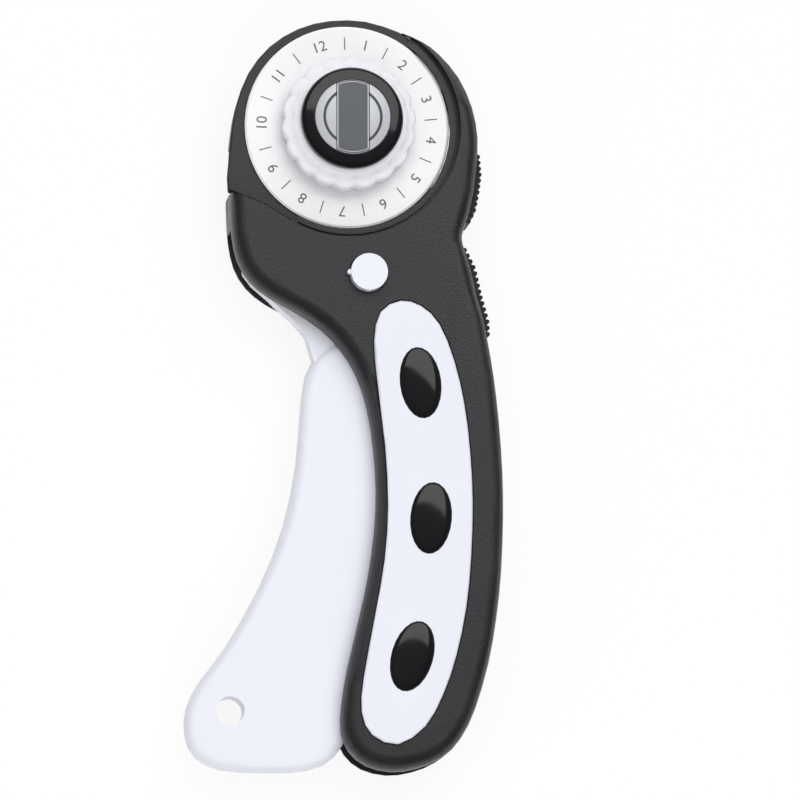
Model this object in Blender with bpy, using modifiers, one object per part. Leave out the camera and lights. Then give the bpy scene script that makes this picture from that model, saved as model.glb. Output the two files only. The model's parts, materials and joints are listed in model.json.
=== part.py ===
"""Rotary cutter with a squeeze lever: a 45 mm wheel blade, a retracting guard and a two-shell grip."""
import math

import bmesh
import bpy
from mathutils import Matrix, Vector

MM = 0.001

# Driving dimensions, in millimetres. The blade axis is at X = Y = 0 and the rest plane at Z = 0.
BLADE_RADIUS = 22.5
BLADE_THICK = 0.3
BODY_REAR = 0.5
BODY_FRONT = 19.0
PARTING = 9.5
PARTING_GAP = 0.3
WALL = 2.2
FACE_WALL = 2.0
BODY_FILLET = 3.2
CLEAR = 0.3
REAR_FILLET = 4.4
LEDGE_GAP = 0.3
LEDGE_WIDTH = 2.1
LEDGE_THICK = 1.3
LEDGE_RADIUS = BLADE_RADIUS + LEDGE_GAP
HEAD_RADIUS = LEDGE_RADIUS + LEDGE_WIDTH
LEDGE_SLOPE_DEG = 15.0
TIP_INSET = 0.1175
GROOVE_WIDTH = 0.75
GROOVE_DEPTH = 0.7
GROOVE_LIP = 0.1
GUARD_LAP = 0.2
GUARD_TRIM_RADIUS = BLADE_RADIUS + GUARD_LAP

# Levels of the head stack.
GUARD_LOW = 14.0
GUARD_HIGH = 15.6
SKIRT_LOW = 9.8
SKIRT_WALL = 1.8
SKIRT_INSET = 0.15
SKIRT_END = -7.5
SKIRT_START = 8.0
HUB_RADIUS = 7.5
HUB_TOP = GUARD_LOW - CLEAR
DRUM_RADIUS = 15.5
DRUM_WALL = 2.0
BRIDGE_LAP = 0.9
BUSH_RADIUS = 4.4
BUSH_LOW = 11.0
BUSH_HIGH = 16.5
BLADE_LOW = GUARD_HIGH + CLEAR
BLADE_HIGH = BLADE_LOW + BLADE_THICK
BOLT_RADIUS = 3.0
BOLT_HEAD_RADIUS = 5.6
BOLT_HEAD_LOW = 0.8
BOLT_HEAD_HIGH = 3.0
BOLT_TOP = 22.4
WASHER_RADIUS = 8.0
WASHER_LOW = BUSH_HIGH + CLEAR
WASHER_THICK = 0.5

# Clamp knob, its insert, cap and badge.
KNOB_RADIUS = 14.45
KNOB_FLUTES = 18
KNOB_FLUTE_DEPTH = 0.6
KNOB_FLUTE_PHASE = 6.0
KNOB_LOW = 16.7
KNOB_RIM = 22.0
KNOB_TOP = 24.3
KNOB_CONE_BASE = 13.2
KNOB_CONE_TOP = 11.5
KNOB_EDGE = 0.7
INSERT_RADIUS = 5.0
INSERT_LOW = 17.9
INSERT_HIGH = 22.8
CAP_RADIUS = 11.17
CAP_LOW = KNOB_TOP + CLEAR
CAP_HIGH = 28.0
CAP_SPIGOT_LOW = 23.3
BADGE_RADIUS = 8.2
BADGE_SINK = 0.3
BADGE_THICK = 0.5

# Lever mechanism: pivot, drive pin, guard slide direction and the squeeze angle.
PIVOT_SPOT = (20.5, -16.5)
DRIVE_SPOT = (-16.0, -27.5)
SLIDE = Vector((math.cos(math.radians(-45.0)), math.sin(math.radians(-45.0))))
SQUEEZE_DEG = 9.0
WEB_LOW = 7.0
WEB_HIGH = 12.0
PADDLE_LOW = 6.0
PADDLE_HIGH = 13.0
PADDLE_FILLET = 2.4
SLOT_LOW = 5.5
SLOT_HIGH = 13.5
EYE_RADIUS = 4.4
PIVOT_RADIUS = 2.0
PIVOT_BOSS_RADIUS = 3.0
PIVOT_BOSS_TOP = WEB_LOW - CLEAR
PIVOT_HEAD_RADIUS = 3.6
PIVOT_TOP = HUB_TOP
DRIVE_RADIUS = 1.75
HANG_HOLE = Vector((-25.2, -128.4))
HANG_HOLE_RADIUS = 3.1

# Torsion spring round the pivot boss.
SPRING_WIRE = 0.4
SPRING_RADIUS = 3.9
SPRING_PITCH = 1.25
SPRING_LOW = 3.35
SPRING_START_DEG = 90.0
SPRING_SWEEP_DEG = 855.0
SPRING_LEG_FIXED = 7.6
SPRING_LEG_MOVING = 9.5

# Lock button.
BUTTON = Vector((4.4, -32.85))
BUTTON_RADIUS = 4.04
BUTTON_SHAFT_RADIUS = 2.2
BUTTON_TOP = 21.0
BUTTON_HEAD_LOW = 16.2
BUTTON_LOW = 3.4
BUTTON_TRAVEL = 2.5
BUTTON_BUSH_RADIUS = 4.6
BUTTON_BUSH_TOP = 6.6
RING_RADIUS = 0.55
RING_LEVEL = 5.0

# Inlays and their oval grip studs.
INLAY_PROUD = 0.5
INLAY_RECESS = 1.1
INLAY_EDGE = 0.45
STUD_LONG = 7.7
STUD_SHORT = 4.37
STUD_EDGE = 0.6
STUDS = (
    ("upper", Vector((15.7, -57.0)), 96.3),
    ("middle", Vector((17.9, -86.7)), 84.7),
    ("lower", Vector((13.7, -116.9)), 73.4),
)

# Ribbed finger pads on the spine.
PAD_DEPTH = 0.8
PAD_PROUD = 0.7
PAD_LOW = 4.5
PAD_HIGH = 14.5
RIB_HEIGHT = 0.8
RIB_PITCH = 1.3
RIB_FADE = 3
PADS = (("upper", -5.0, -20.6), ("lower", -26.0, -46.0))

# Body screws on the spine side.
SCREW_SPOTS = ((22.6, -30.5), (28.7, -62.0), (29.0, -100.0), (24.3, -126.0))
SCREW_RADIUS = 1.2
SCREW_HEAD_RADIUS = 2.2
SCREW_BOSS_RADIUS = 3.0
SCREW_HEAD_LOW = 1.2
SCREW_HEAD_HIGH = 2.9
SCREW_TOP = 15.6

# Silhouette of the closed tool, clockwise from the upper tip of the head crescent.
SPINE = (
    (11.6, 21.9), (16.7, 19.6), (20.4, 16.9), (24.8, 11.7), (27.8, 5.0), (29.0, -1.8), (28.7, -8.0),
    (28.0, -14.0), (26.9, -19.0), (25.7, -22.6), (25.4, -24.4), (26.0, -27.0), (27.4, -31.5), (28.6, -37.0),
    (30.0, -42.0), (31.0, -47.0), (32.3, -55.0), (33.4, -65.0), (34.1, -76.0), (34.2, -86.0), (33.7, -98.0),
    (32.6, -108.0), (30.8, -118.0), (27.8, -128.0), (24.6, -134.4), (20.5, -138.6), (15.0, -140.9),
    (9.5, -141.6), (4.0, -140.3), (0.3, -137.2), (-1.3, -133.0), (-1.2, -127.5), (0.2, -119.0),
    (2.6, -109.0), (4.7, -99.0), (6.1, -89.0), (6.5, -80.0), (5.9, -71.0), (4.5, -62.0), (2.2, -55.0),
    (-1.2, -49.4), (-5.5, -44.9), (-11.0, -41.2), (-17.0, -38.0), (-21.3, -34.5), (-24.0, -30.0),
    (-25.2, -24.5), (-25.6, -19.0), (-25.7, -14.0), (-25.5, -6.0), (-24.9, 1.5), (-23.2, 8.6),
    (-19.0, 15.6), (-12.5, 20.9), (-4.5, 23.9), (4.5, 24.0),
)
HEAD_EDGE = ((-60.0, -4.0), (-25.8, -15.1), (-18.6, -17.9))
HEAD_ARC = (240.0, 422.0)
PADDLE = (
    (-1.0, -47.0), (-5.5, -49.5), (-8.6, -54.5), (-9.8, -64.0), (-10.7, -74.5), (-13.4, -87.5),
    (-18.4, -100.5), (-25.7, -113.8), (-31.5, -121.6), (-34.5, -127.5), (-34.9, -133.5), (-32.6, -138.4),
    (-27.0, -141.1), (-17.0, -141.6), (-8.0, -141.0), (-2.5, -138.2), (0.6, -132.5), (1.2, -124.5),
    (3.4, -115.0), (6.3, -104.0), (8.2, -92.0), (8.9, -80.0), (8.1, -68.0), (6.2, -57.5), (3.2, -50.0),
)
WEB = (
    (16.5, -13.6), (-14.5, -22.6), (-20.4, -24.8), (-22.4, -28.6), (-22.3, -31.9), (-20.3, -34.5),
    (-17.0, -37.3), (-14.6, -39.6), (-11.4, -42.4), (-8.6, -45.6), (-7.0, -51.0), (-4.0, -58.0),
    (4.0, -58.0), (7.5, -48.0), (10.5, -40.0), (15.5, -30.0), (23.4, -19.8),
)
GUARD_CORNER = (-26.1, -14.75)
GUARD_FREE = (
    (15.5, 18.5), (13.5, 20.45), (11.5, 21.8), (4.25, 23.95), (-3.5, 23.95), (-10.6, 22.0), (-17.0, 17.8),
    (-21.7, 11.7), (-24.4, 4.4), (-25.5, -2.0), (-26.0, -8.0), GUARD_CORNER, (-22.4, -16.9), (-21.4, -22.0),
    (-21.0, -28.0), (-19.6, -31.0), (-17.0, -31.9), (-13.4, -29.4), (-11.6, -24.6),
)
GUARD_ARC = (247.0, 407.0)
LEDGE_ARC = (242.0, 415.0)
GROOVE_ARC = (243.0, 413.0)
INLAY = (
    (11.4, -38.9), (16.0, -40.0), (20.0, -44.0), (23.2, -52.0), (25.4, -61.6), (26.6, -72.0), (27.1, -83.0),
    (26.7, -95.0), (25.6, -106.0), (23.4, -116.5), (20.5, -125.0), (16.6, -132.0), (10.6, -136.0),
    (5.0, -134.0), (2.7, -129.0), (3.2, -121.5), (5.6, -108.5), (7.8, -96.0), (8.6, -84.0), (8.0, -71.0),
    (6.4, -58.0), (5.6, -48.0), (7.0, -41.5),
)


def clear_scene():
    for ob in list(bpy.data.objects):
        bpy.data.objects.remove(ob, do_unlink=True)


def new_collection(name):
    group = bpy.data.collections.new(name)
    bpy.context.scene.collection.children.link(group)
    return group


def smooth(points, steps=2, closed=True):
    """A curve through the points, Catmull-Rom, with a few steps between each pair."""
    knots = [Vector(p) for p in points]
    count = len(knots)
    line = []
    for i in range(count if closed else count - 1):
        places = [(i + k) % count if closed else min(max(i + k, 0), count - 1) for k in (-1, 0, 1, 2)]
        a, b, c, d = (knots[k] for k in places)
        for s in range(steps):
            t = s / steps
            line.append(0.5 * (2 * b + (c - a) * t + (2 * a - 5 * b + 4 * c - d) * t * t
                               + (3 * b - 3 * c + d - a) * t * t * t))
    return line if closed else line + [knots[-1]]


def arc(centre, radius, start, end, count):
    turns = (math.radians(start + (end - start) * i / count) for i in range(count + 1))
    return [Vector((centre[0] + radius * math.cos(a), centre[1] + radius * math.sin(a))) for a in turns]


def ring(centre, radius, count):
    return arc(centre, radius, 0.0, 360.0 * (count - 1) / count, count - 1)


def oval(centre, long, short, lean, count=24):
    turn = Matrix.Rotation(math.radians(lean), 2)
    return [centre + turn @ Vector((long * p.x, short * p.y)) for p in ring((0, 0), 1.0, count)]


def capsule(a, b, radius, count=8):
    way = math.degrees(math.atan2(b.y - a.y, b.x - a.x))
    return arc(b, radius, way - 90, way + 90, count) + arc(a, radius, way + 90, way + 270, count)


def area(line):
    return 0.5 * sum(a.x * b.y - b.x * a.y for a, b in zip(line, line[1:] + line[:1]))


def grown(line, distance):
    """The closed outline moved outward by a distance, or inward when it is negative."""
    side = 1.0 if area(line) > 0 else -1.0
    out = []
    for i, p in enumerate(line):
        before = (p - line[i - 1]).normalized()
        after = (line[(i + 1) % len(line)] - p).normalized()
        normal = Vector((before.y + after.y, -before.x - after.x)).normalized() * side
        lean = max(0.5, normal.dot(Vector((after.y, -after.x)) * side))
        out.append(p + normal * distance / lean)
    return out


def mesh_from(ob, name):
    bpy.context.view_layer.update()
    graph = bpy.context.evaluated_depsgraph_get()
    mesh = bpy.data.meshes.new_from_object(ob.evaluated_get(graph))
    mesh.name = name
    bpy.data.objects.remove(ob, do_unlink=True)
    work = bmesh.new()
    work.from_mesh(mesh)
    bmesh.ops.remove_doubles(work, verts=work.verts, dist=0.00001)
    bmesh.ops.recalc_face_normals(work, faces=work.faces)
    work.to_mesh(mesh)
    work.free()
    return mesh


def finish(name, mesh, group):
    ob = bpy.data.objects.new(name, mesh)
    group.objects.link(ob)
    if group is cutters:
        ob.hide_render = True
        ob.display_type = 'WIRE'
    return ob


def plate(name, outlines, low, high, group, edge=0.0, steps=1):
    """A flat piece from one outline and its holes, its rim rounded by the edge radius."""
    curve = bpy.data.curves.new(name, 'CURVE')
    curve.dimensions = '2D'
    curve.fill_mode = 'BOTH'
    curve.extrude = ((high - low) / 2 - edge) * MM
    curve.bevel_depth = edge * MM
    curve.bevel_resolution = steps
    for outline in outlines:
        line = grown(outline, -edge) if edge else outline
        spline = curve.splines.new('POLY')
        spline.points.add(len(line) - 1)
        for point, p in zip(spline.points, line):
            point.co = (p.x * MM, p.y * MM, 0.0, 1.0)
        spline.use_cyclic_u = True
    draft = bpy.data.objects.new(name, curve)
    bpy.context.scene.collection.objects.link(draft)
    mesh = mesh_from(draft, name)
    mesh.transform(Matrix.Translation((0, 0, (low + high) / 2 * MM)))
    return finish(name, mesh, group)


def cylinder(name, centre, radius, low, high, group, sides=32):
    return plate(name, [ring(centre, radius, sides)], low, high, group)


def box(name, x, y, z, group):
    corners = [Vector((x[0], y[0])), Vector((x[1], y[0])), Vector((x[1], y[1])), Vector((x[0], y[1]))]
    return plate(name, [corners], z[0], z[1], group)


def turned(name, profile, group, sides=48):
    """A turned piece: the half profile, top to bottom, swept once round Z."""
    mesh = bpy.data.meshes.new(name)
    verts = [(r * MM, 0.0, z * MM) for r, z in profile]
    mesh.from_pydata(verts, [(i, i + 1) for i in range(len(verts) - 1)], [])
    draft = bpy.data.objects.new(name, mesh)
    bpy.context.scene.collection.objects.link(draft)
    sweep = draft.modifiers.new("Turn", 'SCREW')
    sweep.axis = 'Z'
    sweep.steps = sides
    sweep.render_steps = sides
    sweep.use_merge_vertices = True
    sweep.merge_threshold = 0.00001
    return finish(name, mesh_from(draft, name), group)


def combine(target, tool, operation):
    step = target.modifiers.new(operation.title() + " " + tool.name, 'BOOLEAN')
    step.operation = operation
    step.object = tool
    step.solver = 'EXACT'


def cut(target, *tools):
    for tool in tools:
        combine(target, tool, 'DIFFERENCE')


def join(target, *tools):
    for tool in tools:
        combine(target, tool, 'UNION')


def halved(source, name, low, high, group):
    """The slice of a rounded blank between two levels, with flat ends."""
    mesh = source.data.copy()
    mesh.name = name
    work = bmesh.new()
    work.from_mesh(mesh)
    for level, up in ((low, -1), (high, 1)):
        everything = work.verts[:] + work.edges[:] + work.faces[:]
        found = bmesh.ops.bisect_plane(work, geom=everything, dist=0.000001, plane_co=(0, 0, level * MM),
                                       plane_no=(0, 0, up), clear_outer=True)
        rim = [e for e in found["geom_cut"] if isinstance(e, bmesh.types.BMEdge)]
        if rim:
            bmesh.ops.triangle_fill(work, edges=rim, use_beauty=True)
    bmesh.ops.recalc_face_normals(work, faces=work.faces)
    work.to_mesh(mesh)
    work.free()
    return finish(name, mesh, group)


def set_origin(ob, place):
    """Moves the object's origin to a joint axis, leaving its shape where it is."""
    spot = Vector((place[0] * MM, place[1] * MM, 0.0))
    ob.data.transform(Matrix.Translation(-spot))
    ob.location = spot


def turned_about(point, centre, degrees):
    return centre + Matrix.Rotation(math.radians(degrees), 2) @ (point - centre)


def paint(ob, colour, metal=0.0, rough=0.45):
    look = bpy.data.materials.new(ob.name)
    look.use_nodes = True
    shader = look.node_tree.nodes["Principled BSDF"]
    shader.inputs["Base Color"].default_value = (*colour, 1.0)
    shader.inputs["Metallic"].default_value = metal
    shader.inputs["Roughness"].default_value = rough
    ob.data.materials.clear()
    ob.data.materials.append(look)


BLACK = (0.03, 0.03, 0.033)
WHITE = (0.82, 0.84, 0.88)
GLOSS = (0.012, 0.012, 0.013)
STEEL = (0.62, 0.63, 0.65)

clear_scene()
parts = new_collection("Rotary cutter")
cutters = new_collection("Cutters")

# The outlines round the head follow the blade's radius, and fade into the grip below it.
head_scale = HEAD_RADIUS / (Vector(SPINE[0]).length + TIP_INSET)


def fitted(points):
    out = []
    for p in points:
        share = min(1.0, max(0.0, (p[1] + 45.0) / 25.0))
        out.append(Vector(p) * (1.0 + (head_scale - 1.0) * share))
    return out


PIVOT, DRIVE = fitted((PIVOT_SPOT, DRIVE_SPOT))
SCREWS = fitted(SCREW_SPOTS)

# Motion of the guard, from the lever's swing.
pin_moved = turned_about(DRIVE, PIVOT, SQUEEZE_DEG) - DRIVE
guard_travel = pin_moved.dot(SLIDE)
across = Vector((-SLIDE.y, SLIDE.x))
pin_across = pin_moved.dot(across)

# Shared blanks and cutters.
spine_line = fitted(SPINE)
silhouette = smooth(spine_line)
body_blank = plate("body_blank", [silhouette], BODY_REAR, BODY_FRONT, cutters, BODY_FILLET, 2)
rear_blank = plate("rear_blank", [silhouette], BODY_REAR, BODY_FRONT, cutters, REAR_FILLET, 2)
head_line = fitted(HEAD_EDGE) + arc((0, 0), HEAD_RADIUS, *HEAD_ARC, 44)
head_line += [Vector((13.6, 32.0)), Vector((-60.0, 32.0))]
head_cutter = plate("head_cutter", [head_line], -2.0, 30.0, cutters)
hollow_low = BODY_REAR + WALL
hollow_high = BODY_FRONT - FACE_WALL
hollow_line = grown(smooth(spine_line, 1), -WALL)
hollow_cutter = plate("hollow_cutter", [hollow_line], hollow_low, hollow_high, cutters)
slot_line = [(-60.0, -23.0), (-12.0, -23.0), (-12.0, -30.0), (-4.0, -40.0), (11.0, -58.0), (13.0, -80.0),
             (12.0, -100.0), (8.0, -122.0), (10.0, -130.0), (20.0, -132.0), (20.0, -160.0), (-60.0, -160.0)]
slot_cutter = plate("slot_cutter", [[Vector(p) for p in slot_line]], SLOT_LOW, SLOT_HIGH, cutters)

# The notch that lets the guard's corner slide in through the shell's wall.
corner = fitted([GUARD_CORNER])[0] - across * CLEAR
notch_line = [corner - SLIDE * 2.0, corner + SLIDE * (guard_travel + CLEAR)]
notch_line += [p + Vector((0.0, 7.0)) for p in reversed(notch_line)]
notch_cutter = plate("notch_cutter", [notch_line], GUARD_LOW - CLEAR, GUARD_HIGH + CLEAR, cutters)

# Ribbed finger pads and the recesses they sit in.
spine_run = [p for p in silhouette if p.x > 20.0 and -60.0 < p.y < 5.0]


def spine_at(level):
    for a, b in zip(spine_run, spine_run[1:]):
        if b.y <= level <= a.y:
            return a + (b - a) * (a.y - level) / (a.y - b.y)
    return spine_run[0]


def spine_normal(level):
    way = spine_at(level - 0.4) - spine_at(level + 0.4)
    return Vector((-way.y, way.x)).normalized()


pad_recesses = []
for tag, top, bottom in PADS:
    ribs = round((top - bottom) / RIB_PITCH)
    step = (bottom - top) / ribs
    outer = []
    inner = []
    for i in range(ribs + 1):
        level = top + step * i
        proud = PAD_PROUD * min(1.0, i / RIB_FADE, (ribs - i) / RIB_FADE)
        inner.append(spine_at(level) - spine_normal(level) * PAD_DEPTH)
        outer.append(spine_at(level) + spine_normal(level) * proud)
        if i < ribs:
            for share in (0.25, 0.7):
                crest = level + step * share
                outer.append(spine_at(crest) + spine_normal(crest) * (proud + RIB_HEIGHT))
    outline = outer + inner[::-1]
    pad = plate("finger_pad_" + tag, [outline], PAD_LOW, PAD_HIGH, parts)
    paint(pad, GLOSS, 0.0, 0.6)
    floor = [p - spine_normal(p.y) * CLEAR for p in inner]
    floor[0] = floor[0] + Vector((0.0, CLEAR))
    floor[-1] = floor[-1] - Vector((0.0, CLEAR))
    reach = [p + spine_normal(p.y) * 6.0 for p in floor]
    pad_recesses.append(plate("pad_recess_" + tag, [reach + floor[::-1]], PAD_LOW - CLEAR, PAD_HIGH + CLEAR,
                              cutters))

# Front shell.
front_shell = halved(body_blank, "front_shell", PARTING + PARTING_GAP, BODY_FRONT + 1.0, parts)
cut(front_shell, head_cutter, hollow_cutter, slot_cutter, notch_cutter, *pad_recesses)
ledge_top = hollow_high + 0.2
ledge_line = arc((0, 0), HEAD_RADIUS + CLEAR, *LEDGE_ARC, 24)
ledge_line += arc((0, 0), LEDGE_RADIUS, *LEDGE_ARC, 24)[::-1]
ledge = plate("ledge", [ledge_line], ledge_top - LEDGE_THICK, ledge_top, cutters)
fall = LEDGE_THICK / math.tan(math.radians(LEDGE_SLOPE_DEG))
fall_start = LEDGE_ARC[1] - math.degrees(fall / HEAD_RADIUS)
ledge_slope = box("ledge_slope", (0.0, 2 * fall), (-6.0, 6.0), (0.0, 6.0), cutters)
lean = Matrix.Rotation(math.radians(LEDGE_SLOPE_DEG), 4, 'Y')
swing = Matrix.Rotation(math.radians(fall_start + 90.0), 4, 'Z')
foot = arc((0, 0), HEAD_RADIUS, fall_start, fall_start, 1)[0]
lift = Matrix.Translation((foot.x * MM, foot.y * MM, ledge_top * MM))
ledge_slope.data.transform(lift @ swing @ lean)
cut(ledge, ledge_slope)
groove_outer = HEAD_RADIUS - GROOVE_LIP
groove_line = arc((0, 0), groove_outer, *GROOVE_ARC, 24)
groove_line += arc((0, 0), groove_outer - GROOVE_WIDTH, *GROOVE_ARC, 24)[::-1]
groove = plate("groove", [groove_line], ledge_top - GROOVE_DEPTH, BODY_FRONT + 1.0, cutters)
join(front_shell, ledge)
cut(front_shell, groove)
for i, spot in enumerate(SCREWS):
    boss = cylinder("front_boss_%d" % (i + 1), spot, SCREW_BOSS_RADIUS, PARTING + 2 * PARTING_GAP,
                    hollow_high + 0.5, cutters, 12)
    hole = cylinder("front_screw_hole_%d" % (i + 1), spot, SCREW_RADIUS + 0.2, PARTING - 1.0,
                    SCREW_TOP + CLEAR, cutters, 12)
    join(front_shell, boss)
    cut(front_shell, hole)
inlay_line = smooth(INLAY)
inlay_seat = grown(inlay_line, CLEAR)
front_seat = plate("front_inlay_seat", [inlay_seat], BODY_FRONT - INLAY_RECESS, BODY_FRONT + 2.0, cutters)
button_hole = cylinder("button_hole", BUTTON, BUTTON_RADIUS + CLEAR, PARTING, BODY_FRONT + 2.0, cutters, 32)
cut(front_shell, front_seat, button_hole)
paint(front_shell, BLACK)

# Rear shell with the hub drum, the pivot boss and the screw bosses.
rear_shell = halved(rear_blank, "rear_shell", BODY_REAR - 1.0, PARTING, parts)
cut(rear_shell, head_cutter, hollow_cutter, slot_cutter, *pad_recesses)
drum_bore = DRUM_RADIUS - DRUM_WALL
bolt_bore = BOLT_RADIUS + 0.2
bush_bore = BUSH_RADIUS + 0.2
drum_profile = (
    (bush_bore, HUB_TOP), (HUB_RADIUS, HUB_TOP), (HUB_RADIUS, hollow_low), (drum_bore, hollow_low),
    (drum_bore, HUB_TOP), (DRUM_RADIUS, HUB_TOP), (DRUM_RADIUS, BODY_REAR + 2.0),
    (DRUM_RADIUS - 0.6, BODY_REAR + 0.6), (DRUM_RADIUS - 2.0, BODY_REAR), (bolt_bore, BODY_REAR),
    (bolt_bore, BUSH_LOW - 0.2), (bush_bore, BUSH_LOW - 0.2), (bush_bore, HUB_TOP),
)
drum = turned("drum", drum_profile, cutters, 36)
bridge_side = [(-13.6, -16.0), (-17.0, -21.0), (-22.0, -24.0), (-10.0, -31.0), (10.0, -31.0), (22.0, -23.0),
               (16.6, -17.6)]
bridge_line = smooth(bridge_side + arc((0, 0), DRUM_RADIUS - BRIDGE_LAP, -31.0, -143.0, 5))
bridge = plate("bridge", [bridge_line], BODY_REAR + 0.1, hollow_low + 0.1, cutters)
pivot_boss = cylinder("pivot_boss", PIVOT, PIVOT_BOSS_RADIUS, hollow_low - 0.5, PIVOT_BOSS_TOP, cutters, 24)
pivot_hole = cylinder("pivot_hole", PIVOT, PIVOT_RADIUS + 0.2, BODY_REAR + 1.2, PIVOT_BOSS_TOP + 1.0,
                      cutters, 24)
join(rear_shell, bridge, drum, pivot_boss)
cut(rear_shell, pivot_hole)
for i, spot in enumerate(SCREWS):
    boss = cylinder("rear_boss_%d" % (i + 1), spot, SCREW_BOSS_RADIUS, BODY_REAR + 0.8, PARTING - PARTING_GAP,
                    cutters, 14)
    shaft = cylinder("rear_screw_hole_%d" % (i + 1), spot, SCREW_RADIUS + 0.2, -1.0, PARTING + 1.0,
                     cutters, 12)
    sink = cylinder("rear_screw_sink_%d" % (i + 1), spot, SCREW_HEAD_RADIUS + 0.2, -1.0,
                    SCREW_HEAD_HIGH + 0.2, cutters, 16)
    join(rear_shell, boss)
    cut(rear_shell, shaft, sink)
bolt_sink = cylinder("bolt_sink", (0, 0), BOLT_HEAD_RADIUS + CLEAR, -1.0, BOLT_HEAD_HIGH + 0.2, cutters, 6)
rear_seat = plate("rear_inlay_seat", [inlay_seat], -2.0, BODY_REAR + INLAY_RECESS, cutters)
button_bush = cylinder("button_bush", BUTTON, BUTTON_BUSH_RADIUS, hollow_low - 0.5, BUTTON_BUSH_TOP,
                       cutters, 24)
button_rear = cylinder("button_rear_hole", BUTTON, BUTTON_SHAFT_RADIUS + RING_RADIUS + 0.35, -1.0,
                       BUTTON_BUSH_TOP + 1.0, cutters, 24)
spring_post = cylinder("spring_post", PIVOT + Vector((-SPRING_LEG_FIXED + 0.6, SPRING_RADIUS - 1.9)), 0.9,
                       hollow_low - 0.5, PIVOT_BOSS_TOP, cutters, 12)
join(rear_shell, button_bush, spring_post)
cut(rear_shell, bolt_sink, rear_seat, button_rear)
paint(rear_shell, BLACK)

# Inlays and the oval studs that stand through them.
for side, face, way in (("front", BODY_FRONT, 1.0), ("rear", BODY_REAR, -1.0)):
    outer = face + way * INLAY_PROUD
    inner = face - way * (INLAY_RECESS - CLEAR)
    inlay = plate(side + "_inlay", [inlay_line], min(outer, inner), max(outer, inner), parts, INLAY_EDGE, 0)
    paint(inlay, WHITE, 0.0, 0.3)
    for tag, spot, lean in STUDS:
        gate = plate("%s_stud_hole_%s" % (side, tag), [oval(spot, STUD_LONG + 0.2, STUD_SHORT + 0.2, lean)],
                     min(outer, inner) - 2.0, max(outer, inner) + 2.0, cutters)
        cut(inlay, gate)
        peak = outer + (0.4 if way > 0 else 0.1)
        stud = plate("%s_grip_stud_%s" % (side, tag), [oval(spot, STUD_LONG, STUD_SHORT, lean)],
                     min(peak, inner), max(peak, inner), parts, STUD_EDGE, 1)
        paint(stud, GLOSS, 0.0, 0.12)

# Squeeze lever: a thin web in the head and a thick paddle, cut for the pins and the button.
squeeze_lever = plate("squeeze_lever", [smooth(PADDLE)], PADDLE_LOW, PADDLE_HIGH, parts, PADDLE_FILLET, 1)
web = plate("web", [fitted(WEB)], WEB_LOW, WEB_HIGH, cutters)
eye = cylinder("eye", PIVOT, EYE_RADIUS, WEB_LOW, WEB_HIGH, cutters, 32)
peg_spot = PIVOT + Vector((-5.6, -8.6))
spring_peg = cylinder("spring_peg", peg_spot, 0.9, WEB_LOW - 2.2, WEB_LOW + 1.0, cutters, 12)
join(squeeze_lever, web, eye, spring_peg)
eye_bore = cylinder("eye_bore", PIVOT, PIVOT_RADIUS + 0.2, 0.0, 20.0, cutters, 24)
drive_bore = cylinder("drive_bore", DRIVE, DRIVE_RADIUS + 0.2, WEB_LOW + 1.0, 20.0, cutters, 20)
hang_bore = cylinder("hang_bore", HANG_HOLE, HANG_HOLE_RADIUS, 0.0, 20.0, cutters, 32)
button_end = turned_about(BUTTON, PIVOT, -SQUEEZE_DEG)
button_way = capsule(BUTTON, button_end, BUTTON_SHAFT_RADIUS + 0.5)
button_slot = plate("button_slot", [button_way], 0.0, 20.0, cutters)
cut(squeeze_lever, eye_bore, drive_bore, hang_bore, button_slot)
paint(squeeze_lever, WHITE, 0.0, 0.35)
set_origin(squeeze_lever, PIVOT)

lever_pivot_pin = cylinder("lever_pivot_pin", PIVOT, PIVOT_RADIUS, BODY_REAR + 1.4, PIVOT_TOP - 0.5,
                           parts, 20)
pivot_head = cylinder("pivot_head", PIVOT, PIVOT_HEAD_RADIUS, WEB_HIGH + CLEAR, PIVOT_TOP, cutters, 24)
join(lever_pivot_pin, pivot_head)
paint(lever_pivot_pin, STEEL, 1.0, 0.3)
guard_drive_pin = cylinder("guard_drive_pin", DRIVE, DRIVE_RADIUS, WEB_LOW + 1.2, GUARD_HIGH, parts, 20)
paint(guard_drive_pin, STEEL, 1.0, 0.3)
set_origin(guard_drive_pin, PIVOT)

# Return spring: two straight legs and a coil, one unbroken wire.
start = math.radians(SPRING_START_DEG)
sweep = math.radians(SPRING_SWEEP_DEG)
turn_steps = 26
rise = SPRING_PITCH * SPRING_SWEEP_DEG / 360.0
wire = []
for i in range(turn_steps + 1):
    angle = start - sweep * i / turn_steps
    level = SPRING_LOW + rise * i / turn_steps
    spot = PIVOT + SPRING_RADIUS * Vector((math.cos(angle), math.sin(angle)))
    wire.append(Vector((spot.x, spot.y, level)))
leave = start - sweep
wire.insert(0, wire[0] - Vector((SPRING_LEG_FIXED, 0.0, 0.0)))
wire.append(wire[-1] + Vector((math.sin(leave), -math.cos(leave), 0.0)) * SPRING_LEG_MOVING)
least = min((a - b).length for i, a in enumerate(wire) for b in wire[i + 8:]) - 2 * SPRING_WIRE
print("least gap of the spring to itself, mm: %.2f" % least)
coil = bpy.data.curves.new("lever_return_spring", 'CURVE')
coil.dimensions = '3D'
coil.bevel_depth = SPRING_WIRE * MM
coil.bevel_resolution = 1
coil.use_fill_caps = True
strand = coil.splines.new('POLY')
strand.points.add(len(wire) - 1)
for point, p in zip(strand.points, wire):
    point.co = (p.x * MM, p.y * MM, p.z * MM, 1.0)
draft = bpy.data.objects.new("lever_return_spring", coil)
bpy.context.scene.collection.objects.link(draft)
lever_return_spring = finish("lever_return_spring", mesh_from(draft, "lever_return_spring"), parts)
paint(lever_return_spring, STEEL, 1.0, 0.35)

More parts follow.
